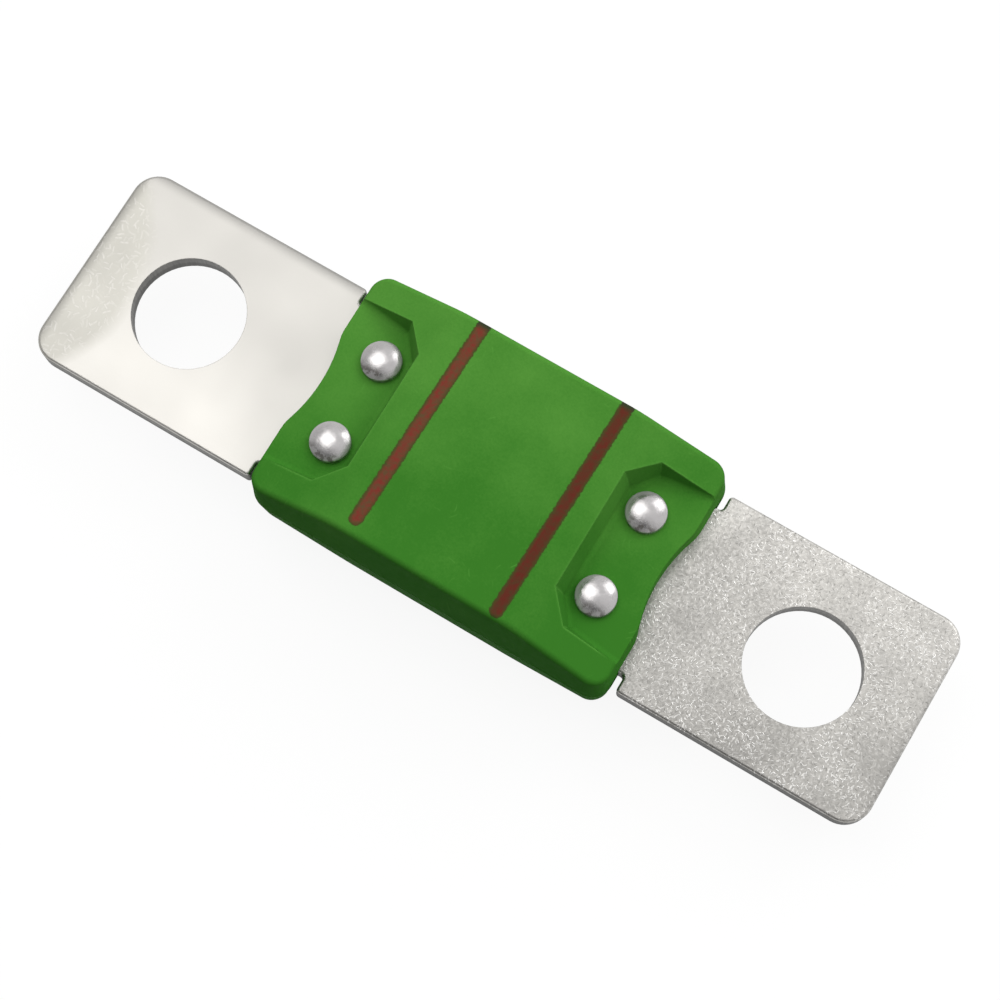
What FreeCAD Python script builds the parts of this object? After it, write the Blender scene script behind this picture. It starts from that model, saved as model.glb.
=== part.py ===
import FreeCAD, Part
import math
import os
import Sketcher

# Bolt-down strip fuse: a stamped metal link clamped between two moulded half shells by four rivets.
#
# Frame, in millimetres: the origin is the middle of the fuse, on the mid-plane of the strip, halfway
# between the two stud holes. +X runs along the strip, +Y across it, +Z out through the upper shell.
# Both shells are the same moulding. The lower one is turned half a turn about X.

# Driving dimensions. Lengths are in millimetres and angles in degrees.
DRIVING = [
    # the stamped strip
    ("stud_spacing", 51.0, "between the centres of the two stud holes"),
    ("stud_hole_diameter", 8.5, "clearance hole for an M8 stud"),
    ("terminal_reach", 8.8, "from the centre of a stud hole to the end of its terminal"),
    ("terminal_width", 16.3, "across a terminal"),
    ("terminal_corner", 2.0, "radius of the four outer corners in plan"),
    ("link_thickness", 1.6, "thickness of the sheet that the strip is stamped from"),
    ("shoulder_step", 1.3, "how much narrower the strip is on each side where it enters the body"),
    ("shoulder_gap", 0.45, "from the end of the body to the shoulder of the terminal"),
    ("notch_radius", 0.3, "corner radius of the shoulders and of the notches beside them"),
    ("die_roll", 0.22, "rounding that the punch leaves on the upper edges of the terminals"),
    # the fusible element inside the body
    ("plate_overhang", 0.8, "how far the wide part of the strip reaches into the chamber"),
    ("plate_corner", 0.8, "radius where the bridge leaves the wide part"),
    ("bridge_width", 4.8, "width of the bridge between the two wide parts"),
    ("waist_width", 2.4, "width of the bridge at its narrowest, where it melts"),
    ("waist_share", 0.55, "part of the bridge's length that narrows and widens again"),
    # outside of a half shell
    ("body_length", 29.45, "length of the body on its parting plane"),
    ("body_width", 18.8, "width of the body on its parting plane"),
    ("body_corner", 1.6, "plan radius of the body's corners on the parting plane"),
    ("side_draft", 4.7, "taper of the outer walls, from the parting plane outwards"),
    ("floor_thickness", 2.2, "plastic between the strip and a rivet head"),
    ("plateau_rise", 3.0, "from the floor of a rivet pocket up to the plateau"),
    ("ramp_length", 7.6, "from the end of the body to the edge of the plateau"),
    ("ramp_lip", 0.15, "height of the ramp over the pocket floor at the end of the body"),
    ("crease_radius", 4.0, "rounding where the plateau turns into a ramp"),
    ("rim_radius", 0.45, "rounding of the outer rim"),
    ("parting_bevel", 0.14, "bevel along the parting line"),
    ("scallop_depth", 0.88, "how deep the end of the body is hollowed for the washer on the stud"),
    ("scallop_blend", 3.0, "rounding on each side of the scallop"),
    # pocket round each pair of rivet heads, measured on its floor
    ("pocket_width", 8.94, "length of the inner wall"),
    ("pocket_bevel_run", 1.42, "slanted corner of the pocket, along the body"),
    ("pocket_bevel_rise", 1.81, "slanted corner of the pocket, across the body"),
    ("pocket_flare", 0.52, "how much each side wall turns outwards between the corner and the end"),
    ("pocket_wall_slope", 14.0, "lean of the pocket's walls from upright"),
    ("pocket_foot_radius", 0.45, "rounding between the pocket's walls and its floor"),
    ("head_gap", 0.38, "from a rivet head to the foot of the pocket's inner wall"),
    # inside of a half shell
    ("link_play", 0.05, "gap on each side of the strip in its channel"),
    ("roof_thickness", 1.8, "plastic between the chamber and the plateau"),
    ("chamber_end_wall", 2.6, "plastic between the chamber and the floor edge of a pocket"),
    ("chamber_side_wall", 2.6, "plastic between the chamber and the outside, on the parting plane"),
    ("chamber_corner", 1.2, "plan radius of the chamber's corners"),
    # rivets
    ("rivet_inset", 3.87, "from the end of the body to the centre of a rivet"),
    ("rivet_spacing", 6.9, "between the two rivets of a pair"),
    ("shank_diameter", 2.0, "diameter of a rivet between its heads"),
    ("shank_play", 0.05, "gap round the shank in its holes"),
    ("head_diameter", 3.0, "diameter of the domed head, and of the tail formed against the other shell"),
    ("head_height", 0.82, "height of the head, its upright edge included"),
    ("head_edge", 0.45, "height of the upright edge of the head"),
    ("brow_radius", 0.12, "rounding between the head's upright edge and its dome"),
    ("tail_height", 0.7, "height of the tail, which is a plain dome"),
    # working allowance
    ("overcut", 1.0, "how far a cutting shape reaches past what it cuts"),
]

# Sizes that follow from the driving ones, each written after those it reads.
DERIVED = [
    ("half_length", "body_length / 2"),
    ("half_width", "body_width / 2"),
    ("half_sheet", "link_thickness / 2"),
    ("stud_x", "stud_spacing / 2"),
    ("strip_end_x", "stud_x + terminal_reach"),
    ("neck_y", "terminal_width / 2 - shoulder_step"),
    ("shoulder_x", "half_length + shoulder_gap"),
    ("floor_height", "half_sheet + floor_thickness"),
    ("shell_height", "floor_height + plateau_rise"),
    ("crease_x", "half_length - ramp_length"),
    ("ramp_end_height", "floor_height + ramp_lip"),
    ("scallop_radius", "stud_x - half_length + scallop_depth"),
    ("rivet_x", "half_length - rivet_inset"),
    ("rivet_y", "rivet_spacing / 2"),
    ("rivet_hole_radius", "shank_diameter / 2 + shank_play"),
    ("pocket_inner_x", "rivet_x - head_diameter / 2 - head_gap"),
    ("pocket_corner_x", "pocket_inner_x + pocket_bevel_run"),
    ("pocket_inner_y", "pocket_width / 2"),
    ("pocket_corner_y", "pocket_inner_y + pocket_bevel_rise"),
    ("pocket_end_y", "pocket_corner_y + pocket_flare"),
    ("chamber_x", "pocket_inner_x - chamber_end_wall"),
    ("chamber_y", "half_width - chamber_side_wall"),
    ("chamber_height", "shell_height - roof_thickness"),
    ("channel_y", "neck_y + link_play"),
    ("plate_x", "chamber_x - plate_overhang"),
    ("waist_x", "plate_x * waist_share"),
    ("waist_dip", "(bridge_width - waist_width) / 2"),
    ("waist_radius", "(waist_x^2 + waist_dip^2) / (2 * waist_dip)"),
]

# How a sketch numbers its own origin and axes, and the points of a curve.
ORIGIN_POINT = (-1, 1)
X_AXIS, Y_AXIS = -1, -2
START, END, CENTRE = range(1, 4)

# Two lengths closer than this count as one, when edges are looked up by where they lie.
SLACK = 0.02


def make_sheet(document):
    """Put every driving and derived size in a spreadsheet cell of its own."""
    sheet = document.addObject("Spreadsheet::Sheet", "Sizes")
    row = 1
    for alias, value, meaning in DRIVING:
        sheet.set(f"A{row}", meaning)
        sheet.set(f"B{row}", str(value))
        sheet.setAlias(f"B{row}", alias)
        row += 1
    document.recompute()
    for alias, formula in DERIVED:
        sheet.set(f"A{row}", alias.replace("_", " "))
        sheet.set(f"B{row}", "=" + formula)
        sheet.setAlias(f"B{row}", alias)
        document.recompute()
        row += 1
    return sheet


def size(sheet, formula):
    """The value of a formula written in the sheet's aliases."""
    return float(sheet.evalExpression(formula))


def linked(formula):
    """The same formula, as another object writes it to read the sheet."""
    names = [alias for alias, *rest in DRIVING + DERIVED]
    words = formula.replace("(", " ( ").replace(")", " ) ").split()
    return " ".join("Sizes." + word if word in names else word for word in words)


class Piece:
    """One PartDesign body, built feature by feature from sketches that read the sheet."""

    def __init__(self, document, sheet, label):
        self.document = document
        self.sheet = sheet
        self.body = document.addObject("PartDesign::Body", label)
        self.body.Label = label

    def value(self, formula):
        return size(self.sheet, formula)

    def sketch(self, name, plane="XY_Plane", height=None):
        """An empty sketch on one of the body's own planes, or above it."""
        origin = self.body.Origin.OriginFeatures
        support = [feature for feature in origin if feature.Role == plane][0]
        sketch = self.body.newObject("Sketcher::SketchObject", name)
        sketch.AttachmentSupport = [(support, "")]
        sketch.MapMode = "FlatFace"
        if height is not None:
            sketch.setExpression("AttachmentOffset.Base.z", linked(height))
        self.document.recompute()
        return sketch

    def constrain(self, sketch, kind, *where, formula):
        """Add a dimension that reads its size from the sheet."""
        index = sketch.addConstraint(Sketcher.Constraint(kind, *where, self.value(formula)))
        sketch.setExpression(f"Constraints[{index}]", linked(formula))

    def fix_point(self, sketch, geometry, point, across, up):
        """Tie a point to its two distances from the sketch's origin."""
        for kind, axis, formula in (("DistanceX", Y_AXIS, across), ("DistanceY", X_AXIS, up)):
            if formula == "0":
                sketch.addConstraint(Sketcher.Constraint("PointOnObject", geometry, point, axis))
            else:
                self.constrain(sketch, kind, *ORIGIN_POINT, geometry, point, formula=formula)

    def point(self, across, up):
        return FreeCAD.Vector(self.value(across), self.value(up), 0)

    def polygon(self, sketch, corners):
        """A closed outline of straight lines through the given corners."""
        count = len(corners)
        spots = [self.point(*corner) for corner in corners]
        lines = [Part.LineSegment(spots[i], spots[(i + 1) % count]) for i in range(count)]
        numbers = sketch.addGeometry(lines)
        for i in range(count):
            following = numbers[(i + 1) % count]
            sketch.addConstraint(Sketcher.Constraint("Coincident", numbers[i], END, following, START))
        for i in range(count):
            self.fix_point(sketch, numbers[i], START, *corners[i])

    def arched_outline(self, sketch, corners, arch_from, centre_up):
        """A closed outline whose side after corner number arch_from is an arc.

        The arc's centre lies at a given height over the origin, midway between its ends.
        """
        count = len(corners)
        spots = [self.point(*corner) for corner in corners]
        shapes = []
        for i in range(count):
            first = spots[i]
            last = spots[(i + 1) % count]
            if i == arch_from:
                centre = FreeCAD.Vector((first.x + last.x) / 2, self.value(centre_up), 0)
                shapes.append(short_arc(centre, first, last))
            else:
                shapes.append(Part.LineSegment(first, last))
        numbers = sketch.addGeometry(shapes)
        heads = [START] * count
        tails = [END] * count
        # An arc is kept counter-clockwise, so it may run against the outline.
        arc = sketch.Geometry[numbers[arch_from]]
        if (arc.StartPoint - spots[arch_from]).Length > (arc.EndPoint - spots[arch_from]).Length:
            heads[arch_from] = END
            tails[arch_from] = START
        for i in range(count):
            j = (i + 1) % count
            meeting = (numbers[i], tails[i], numbers[j], heads[j])
            sketch.addConstraint(Sketcher.Constraint("Coincident", *meeting))
        for i in range(count):
            self.fix_point(sketch, numbers[i], heads[i], *corners[i])
        self.constrain(sketch, "DistanceY", *ORIGIN_POINT, numbers[arch_from], CENTRE, formula=centre_up)

    def rounded_rectangle(self, sketch, half_x, half_y, radius):
        """A rectangle about the origin with four equal round corners."""
        x, y, r = self.value(half_x), self.value(half_y), self.value(radius)
        vector = FreeCAD.Vector
        flat = [
            Part.LineSegment(vector(r - x, -y, 0), vector(x - r, -y, 0)),
            Part.LineSegment(vector(x, r - y, 0), vector(x, y - r, 0)),
            Part.LineSegment(vector(x - r, y, 0), vector(r - x, y, 0)),
            Part.LineSegment(vector(-x, y - r, 0), vector(-x, r - y, 0)),
        ]
        centres = [
            vector(x - r, r - y, 0),
            vector(x - r, y - r, 0),
            vector(r - x, y - r, 0),
            vector(r - x, r - y, 0),
        ]
        turned = []
        for i, centre in enumerate(centres):
            begin = (i - 1) * math.pi / 2
            circle = Part.Circle(centre, vector(0, 0, 1), r)
            turned.append(Part.ArcOfCircle(circle, begin, begin + math.pi / 2))
        lines = sketch.addGeometry(flat)
        arcs = sketch.addGeometry(turned)
        for i in range(4):
            sketch.addConstraint(Sketcher.Constraint("Tangent", lines[i], END, arcs[i], START))
            sketch.addConstraint(Sketcher.Constraint("Tangent", arcs[i], END, lines[(i + 1) % 4], START))
        for i in (1, 2, 3):
            sketch.addConstraint(Sketcher.Constraint("Equal", arcs[0], arcs[i]))
        for i in (0, 2):
            sketch.addConstraint(Sketcher.Constraint("Horizontal", lines[i]))
            sketch.addConstraint(Sketcher.Constraint("Vertical", lines[i + 1]))
        self.constrain(sketch, "Radius", arcs[0], formula=radius)
        self.constrain(sketch, "DistanceY", *ORIGIN_POINT, lines[0], START, formula=f"0 - {half_y}")
        self.constrain(sketch, "DistanceX", *ORIGIN_POINT, lines[1], START, formula=half_x)
        self.constrain(sketch, "DistanceY", *ORIGIN_POINT, lines[2], START, formula=half_y)
        self.constrain(sketch, "DistanceX", *ORIGIN_POINT, lines[3], START, formula=f"0 - {half_x}")

    def circle(self, sketch, across, up, radius):
        spot = self.point(across, up)
        ring = Part.Circle(spot, FreeCAD.Vector(0, 0, 1), self.value(radius))
        number = sketch.addGeometry(ring)
        self.constrain(sketch, "Radius", number, formula=radius)
        self.fix_point(sketch, number, CENTRE, across, up)

    def keep(self, feature):
        """Make a feature the body's tip and stop if it failed."""
        self.body.Tip = feature
        self.document.recompute()
        if feature.Shape.isNull() or not feature.Shape.isValid():
            raise RuntimeError(f"{self.body.Label}: {feature.Label} has no sound shape")
        return feature

    def pad(self, name, sketch, length, taper=None, symmetric=False):
        feature = self.body.newObject("PartDesign::Pad", name)
        feature.Profile = sketch
        feature.setExpression("Length", linked(length))
        feature.SideType = "Symmetric" if symmetric else "One side"
        if taper is not None:
            feature.setExpression("TaperAngle", linked(taper))
        return self.keep(feature)

    def pocket(self, name, sketch, length=None, taper=None):
        """Cut a sketch out of the body: upwards by a length, or right through both ways."""
        before = self.body.Shape.Volume
        feature = self.body.newObject("PartDesign::Pocket", name)
        feature.Profile = sketch
        if length is None:
            feature.Type = "ThroughAll"
            feature.SideType = "Symmetric"
        else:
            feature.Type = "Length"
            feature.Reversed = True
            feature.setExpression("Length", linked(length))
        if taper is not None:
            feature.setExpression("TaperAngle", linked(taper))
        self.keep(feature)
        if feature.Shape.Volume >= before:
            raise RuntimeError(f"{self.body.Label}: {name} cuts nothing")
        return feature

    def edges(self, test):
        """Names of the tip's edges that pass a test."""
        shape = self.body.Tip.Shape
        return [f"Edge{i + 1}" for i, edge in enumerate(shape.Edges) if test(edge)]

    def fillet(self, name, edges, radius):
        if not edges:
            raise RuntimeError(f"{self.body.Label}: {name} finds no edges")
        base = self.body.Tip
        feature = self.body.newObject("PartDesign::Fillet", name)
        feature.Base = (base, edges)
        feature.setExpression("Radius", linked(radius))
        return self.keep(feature)

    def chamfer(self, name, edges, width):
        if not edges:
            raise RuntimeError(f"{self.body.Label}: {name} finds no edges")
        base = self.body.Tip
        feature = self.body.newObject("PartDesign::Chamfer", name)
        feature.Base = (base, edges)
        feature.setExpression("Size", linked(width))
        return self.keep(feature)


def short_arc(centre, first, last):
    """The shorter arc about a centre between two points, counter-clockwise as a sketch keeps it."""
    begin, end = (math.atan2(spot.y - centre.y, spot.x - centre.x) for spot in (first, last))
    full = 2 * math.pi
    if (end - begin) % full > math.pi:
        begin, end = end, begin
    circle = Part.Circle(centre, FreeCAD.Vector(0, 0, 1), (first - centre).Length)
    return Part.ArcOfCircle(circle, begin, begin + (end - begin) % full)


def near(first, second):
    return abs(first - second) < SLACK


def upright(edge):
    """True for an edge parallel to Z."""
    box = edge.BoundBox
    return box.XLength < SLACK and box.YLength < SLACK


def level_at(edge, height):
    """True for an edge that lies flat at one height."""
    return near(edge.BoundBox.ZMin, height) and near(edge.BoundBox.ZMax, height)


def least_x(edge):
    """How far the inner end of an edge lies from the middle of the fuse."""
    return min(abs(edge.BoundBox.XMin), abs(edge.BoundBox.XMax))


def spans_width(edge):
    """True for an edge that runs straight across the fuse, such as a crease."""
    return edge.BoundBox.XLength < SLACK and edge.BoundBox.YMin < -SLACK < SLACK < edge.BoundBox.YMax


def starts_at(edge, across, up):
    """True for an edge with one end on the parting plane, this far from both mid-planes."""
    return any(
        near(abs(vertex.X), across) and near(abs(vertex.Y), up) and near(vertex.Z, 0)
        for vertex in edge.Vertexes
    )


def make_link(document, sheet):
    """The stamped strip: two terminals, two necks and the fusible element between them."""
    piece = Piece(document, sheet, "fuse_link")

    blank = piece.sketch("StripOutline")
    piece.rounded_rectangle(blank, "strip_end_x", "terminal_width / 2", "terminal_corner")
    piece.pad("Strip", blank, "link_thickness", symmetric=True)

    # The strip is narrower between the shoulders, on both sides.
    reliefs = piece.sketch("NeckReliefs")
    for sign in ("", "0 - "):
        outer = f"{sign}( terminal_width / 2 + overcut )"
        inner = f"{sign}neck_y"
        corners = [
            ("0 - shoulder_x", inner), ("shoulder_x", inner),
            ("shoulder_x", outer), ("0 - shoulder_x", outer),
        ]
        piece.polygon(reliefs, corners)
    piece.pocket("NeckCuts", reliefs)

    shoulder_x = piece.value("shoulder_x")
    shoulders = piece.edges(lambda edge: upright(edge) and near(least_x(edge), shoulder_x))
    piece.fillet("ShoulderCorners", shoulders, "notch_radius")

    # A window on each side leaves the bridge, and an arc in each leaves its waist.
    windows = piece.sketch("ElementWindows")
    for sign in ("", "0 - "):
        outer = f"{sign}( neck_y + overcut )"
        inner = f"{sign}( bridge_width / 2 )"
        waist_centre = f"{sign}( waist_width / 2 + waist_radius )"
        corners = [
            ("0 - plate_x", outer), ("0 - plate_x", inner), ("0 - waist_x", inner),
            ("waist_x", inner), ("plate_x", inner), ("plate_x", outer),
        ]
        piece.arched_outline(windows, corners, 2, waist_centre)
    piece.pocket("ElementCuts", windows)

    plate_x = piece.value("plate_x")
    bridge_y = piece.value("bridge_width / 2")

    def bridge_root(edge):
        return upright(edge) and near(least_x(edge), plate_x) and near(abs(edge.BoundBox.YMin), bridge_y)

    piece.fillet("BridgeRoots", piece.edges(bridge_root), "plate_corner")

    holes = piece.sketch("StudHoles")
    for side in ("stud_x", "0 - stud_x"):
        piece.circle(holes, side, "0", "stud_hole_diameter / 2")
    piece.pocket("StudBores", holes)
    rivet_holes(piece)

    # The punch rounds the upper edges of each terminal, outside the body, but not those of the holes.
    top = piece.value("half_sheet")
    hole_y = piece.value("stud_hole_diameter / 2")

    def terminal_outline(edge):
        of_hole = near(edge.BoundBox.YMax, hole_y) and near(edge.BoundBox.YMin, -hole_y)
        return level_at(edge, top) and least_x(edge) > shoulder_x - SLACK and not of_hole

    piece.fillet("DieRoll", piece.edges(terminal_outline), "die_roll")
    return piece.body


def rivet_holes(piece):
    """Four shank holes through a piece, on the pattern that all pieces share."""
    holes = piece.sketch("RivetHoles")
    for across in ("rivet_x", "0 - rivet_x"):
        for up in ("rivet_y", "0 - rivet_y"):
            piece.circle(holes, across, up, "rivet_hole_radius")
    piece.pocket("RivetBores", holes)


def make_shell(document, sheet, label, turned):
    """One half of the body, modelled as the upper half and turned over for the lower one."""
    piece = Piece(document, sheet, label)
    value = piece.value

    outline = piece.sketch("BodyOutline")
    piece.rounded_rectangle(outline, "half_length", "half_width", "body_corner")
    piece.pad("DraftedBlock", outline, "shell_height", taper="0 - side_draft")

    # The two ramps: what lies over each slope is cut away, across the whole width.
    slopes = piece.sketch("RampProfile", "XZ_Plane")
    for sign in ("", "0 - "):
        inner = f"{sign}crease_x"
        outer = f"{sign}half_length"
        past = f"{sign}( half_length + overcut )"
        over = "shell_height + overcut"
        corners = [
            (inner, "shell_height"), (outer, "ramp_end_height"), (past, "ramp_end_height"),
            (past, over), (inner, over),
        ]
        piece.polygon(slopes, corners)
    piece.pocket("Ramps", slopes)

    crease_x = value("crease_x")
    creases = piece.edges(lambda edge: spans_width(edge) and near(least_x(edge), crease_x))
    piece.fillet("SoftCreases", creases, "crease_radius")

    # Each end is hollowed by a circle about the stud, so that a nut and washer clear the body.
    circles = piece.sketch("ScallopCircles")
    for side in ("stud_x", "0 - stud_x"):
        piece.circle(circles, side, "0", "scallop_radius")
    piece.pocket("Scallops", circles)

    half_length = value("half_length")
    scallop_y = value("sqrt(scallop_radius ^ 2 - (stud_x - half_length) ^ 2)")
    lips = piece.edges(lambda edge: starts_at(edge, half_length, scallop_y) and not level_at(edge, 0))
    piece.fillet("ScallopBlends", lips, "scallop_blend")

    # The whole upper rim is one smooth chain: plateau, ramps, corners and ends.
    lowest = value("ramp_end_height")
    rim = piece.edges(lambda edge: edge.BoundBox.ZMin > lowest - SLACK and not spans_width(edge))
    piece.fillet("Rim", rim, "rim_radius")

    foot = piece.edges(lambda edge: level_at(edge, 0))
    piece.chamfer("PartingBevel", foot, "parting_bevel")

    # One pocket at each end takes both rivet heads and is open towards the terminal.
    feet = piece.sketch("PocketFloors", height="floor_height")
    for sign in ("", "0 - "):
        past = f"{sign}( half_length + overcut )"
        end = f"{sign}half_length"
        bend = f"{sign}pocket_corner_x"
        inner = f"{sign}pocket_inner_x"
        corners = [
            (past, "pocket_end_y"), (end, "pocket_end_y"),
            (bend, "pocket_corner_y"), (inner, "pocket_inner_y"),
            (inner, "0 - pocket_inner_y"), (bend, "0 - pocket_corner_y"),
            (end, "0 - pocket_end_y"), (past, "0 - pocket_end_y"),
        ]
        piece.polygon(feet, corners)
    piece.pocket("RivetPockets", feet, length="plateau_rise + overcut", taper="pocket_wall_slope")

    floor_height = value("floor_height")
    bend_x = value("pocket_corner_x")
    inner_x = value("pocket_inner_x")

    def foot_of_wall(edge):
        return level_at(edge, floor_height) and (near(least_x(edge), bend_x) or near(least_x(edge), inner_x))

    piece.fillet("PocketFeet", piece.edges(foot_of_wall), "pocket_foot_radius")

    # The strip lies in a channel, and the element crosses a chamber.
    channel = piece.sketch("LinkChannel")
    far = "half_length + overcut"
    piece.polygon(channel, [
        (f"0 - ( {far} )", "0 - channel_y"), (far, "0 - channel_y"), (far, "channel_y"),
        (f"0 - ( {far} )", "channel_y"),
    ])
    piece.pocket("Channel", channel, length="half_sheet")

    room = piece.sketch("ChamberOutline")
    piece.rounded_rectangle(room, "chamber_x", "chamber_y", "chamber_corner")
    piece.pocket("Chamber", room, length="chamber_height")
    rivet_holes(piece)

    if turned:
        half_turn = FreeCAD.Rotation(FreeCAD.Vector(1, 0, 0), 180)
        piece.body.Placement = FreeCAD.Placement(FreeCAD.Vector(0, 0, 0), half_turn)
    return piece.body


def make_rivets(document, sheet):
    """Four like rivets: one turned profile, placed, then mirrored to the other three holes."""
    piece = Piece(document, sheet, "rivet_blank")
    profile = piece.sketch("RivetProfile", "XZ_Plane")
    seat_z = piece.value("floor_height")
    brow_z = seat_z + piece.value("head_edge")
    head = piece.value("head_diameter / 2")
    shank = piece.value("shank_diameter / 2")
    head_top = seat_z + piece.value("head_height")
    tail_end = seat_z + piece.value("tail_height")
    vector = FreeCAD.Vector

    def cap(edge_z, pole_z):
        """A dome's outline, between its edge and its pole on the axis."""
        rise = pole_z - edge_z
        centre_z = pole_z - (head ** 2 + rise ** 2) / (2 * rise)
        return short_arc(vector(0, centre_z, 0), vector(head, edge_z, 0), vector(0, pole_z, 0))

    def join(*ends):
        profile.addConstraint(Sketcher.Constraint("Coincident", *ends))

    dome, brow, seat, side, tail_seat, tail_dome, axis = profile.addGeometry([
        cap(brow_z, head_top),
        Part.LineSegment(vector(head, brow_z, 0), vector(head, seat_z, 0)),
        Part.LineSegment(vector(head, seat_z, 0), vector(shank, seat_z, 0)),
        Part.LineSegment(vector(shank, seat_z, 0), vector(shank, -seat_z, 0)),
        Part.LineSegment(vector(shank, -seat_z, 0), vector(head, -seat_z, 0)),
        cap(-seat_z, -tail_end),
        Part.LineSegment(vector(0, -tail_end, 0), vector(0, head_top, 0)),
    ])
    join(dome, START, brow, START)
    join(brow, END, seat, START)
    join(seat, END, side, START)
    join(side, END, tail_seat, START)
    join(tail_seat, END, tail_dome, END)
    join(tail_dome, START, axis, START)
    join(axis, END, dome, END)
    piece.fix_point(profile, brow, START, "head_diameter / 2", "floor_height + head_edge")
    piece.fix_point(profile, seat, START, "head_diameter / 2", "floor_height")
    piece.fix_point(profile, side, START, "shank_diameter / 2", "floor_height")
    piece.fix_point(profile, tail_seat, START, "shank_diameter / 2", "0 - floor_height")
    piece.fix_point(profile, tail_seat, END, "head_diameter / 2", "0 - floor_height")
    piece.fix_point(profile, axis, START, "0", "0 - floor_height - tail_height")
    piece.fix_point(profile, axis, END, "0", "floor_height + head_height")
    for arc in (dome, tail_dome):
        profile.addConstraint(Sketcher.Constraint("PointOnObject", arc, CENTRE, Y_AXIS))

    turning = piece.body.newObject("PartDesign::Revolution", "Turning")
    turning.Profile = profile
    turning.ReferenceAxis = (profile, ["V_Axis"])
    turning.Angle = 360
    piece.keep(turning)
    piece.fillet("SoftBrow", piece.edges(lambda edge: level_at(edge, brow_z)), "brow_radius")
    piece.body.setExpression("Placement.Base.x", linked("rivet_x"))
    piece.body.setExpression("Placement.Base.y", linked("rivet_y"))

    def mirrored(source, name, normal):
        copy = document.addObject("Part::Mirroring", name)
        copy.Source = source
        copy.Normal = normal
        return copy

    across = mirrored(piece.body, "rivet_near", vector(0, 1, 0))
    along = mirrored(piece.body, "rivet_left", vector(1, 0, 0))
    both = mirrored(across, "rivet_left_near", vector(1, 0, 0))
    group = document.addObject("Part::Compound", "rivets")
    group.Label = "rivets"
    group.Links = [piece.body, across, along, both]
    document.recompute()
    return group


def write_parts(document, subparts):
    """Check every object, then write one STEP file for each sub-part."""
    for item in document.Objects:
        if {"Invalid", "Error"} & set(item.State):
            raise RuntimeError(f"{item.Label} failed: {item.State}")
    for subpart in subparts:
        if subpart.Shape.isNull() or not subpart.Shape.isValid():
            raise RuntimeError(f"{subpart.Label} has no sound shape")
    os.makedirs("parts", exist_ok=True)
    for subpart in subparts:
        subpart.Shape.exportStep(os.path.join("parts", subpart.Label + ".step"))
        solids = len(subpart.Shape.Solids)
        print(f"{subpart.Label}: {solids} solid(s), {subpart.Shape.Volume:.1f} mm3, {subpart.Shape.BoundBox}")


def main():
    document = FreeCAD.newDocument("StripFuse")
    sheet = make_sheet(document)
    subparts = [
        make_link(document, sheet),
        make_shell(document, sheet, "upper_shell", turned=False),
        make_shell(document, sheet, "lower_shell", turned=True),
        make_rivets(document, sheet),
    ]
    document.recompute()
    write_parts(document, subparts)


main()
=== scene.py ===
import math

import bpy
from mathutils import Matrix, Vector


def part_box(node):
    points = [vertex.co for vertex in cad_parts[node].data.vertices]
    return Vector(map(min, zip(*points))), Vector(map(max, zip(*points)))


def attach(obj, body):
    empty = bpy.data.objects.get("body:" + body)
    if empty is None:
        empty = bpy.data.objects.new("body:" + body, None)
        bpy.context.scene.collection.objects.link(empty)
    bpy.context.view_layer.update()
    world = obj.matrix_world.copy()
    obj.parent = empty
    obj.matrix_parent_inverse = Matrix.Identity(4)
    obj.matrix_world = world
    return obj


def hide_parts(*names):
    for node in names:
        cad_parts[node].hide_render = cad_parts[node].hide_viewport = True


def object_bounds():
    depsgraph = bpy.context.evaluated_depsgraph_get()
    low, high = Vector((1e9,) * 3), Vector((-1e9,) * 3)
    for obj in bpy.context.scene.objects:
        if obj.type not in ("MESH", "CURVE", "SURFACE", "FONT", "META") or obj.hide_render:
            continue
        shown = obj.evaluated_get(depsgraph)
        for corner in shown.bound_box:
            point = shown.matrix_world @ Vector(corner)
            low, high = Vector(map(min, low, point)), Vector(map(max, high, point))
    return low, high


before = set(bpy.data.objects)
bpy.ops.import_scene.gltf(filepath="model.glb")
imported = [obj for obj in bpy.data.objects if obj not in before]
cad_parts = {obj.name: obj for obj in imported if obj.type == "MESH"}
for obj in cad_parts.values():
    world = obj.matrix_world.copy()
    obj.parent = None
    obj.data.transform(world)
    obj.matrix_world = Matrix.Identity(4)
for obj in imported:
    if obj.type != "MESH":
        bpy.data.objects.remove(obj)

bl_info = {
    "name": "Bolt-down strip fuse",
    "version": (1, 0, 0),
    "blender": (4, 5, 0),
    "location": "View3D > Sidebar > Strip fuse",
    "description": "Moulded, plated and riveted finishes of a bolt-down strip fuse, with its studio",
    "category": "Object",
}

MM = 0.001
WHITE = (1.0, 1.0, 1.0)
cad_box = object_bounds()
rivet_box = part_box("rivets")
floor_height = cad_box[0].z

# Places on the strip that its plating refers to, from the middle of the fuse.
TERMINAL_END = 34.3 * MM
TERMINAL_SIDE = 8.15 * MM
RIGHT_STUD = (25.5 * MM, 0.0, 0.8 * MM)

# The painted edge highlight is looked for in a rounding this many times wider than the one that the light
# finds.
EDGE_HIGHLIGHT_WIDTH = 2.4

# Large strokes in the plating: how many times as large and as strong as the others they are.
LARGE_STROKE_SIZE = 1.7
LARGE_STROKE_STRENGTH = 0.5

# Rings of a rivet's dome from its pole to its edge, rings of the brow below it, and the bend from which
# an edge stays sharp.
DOME_RINGS = 16
BROW_RINGS = 4
SHARP_BEND = math.radians(40)

# The two lamps: where they hang, the side of their square faces and the tint of the key lamp.
KEY_PLACE = (-0.150, 0.060, 0.385)
KEY_SIDE = 0.24
KEY_TINT = (1.0, 0.997, 0.985)
FAR_PLACE = (0.098, 0.262, 0.238)
FAR_SIDE = 0.16


def colour(name, meaning, value):
    return bpy.props.FloatVectorProperty(
        name=name, description=meaning, default=value, size=3, min=0.0, max=1.0, subtype="COLOR"
    )


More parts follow.
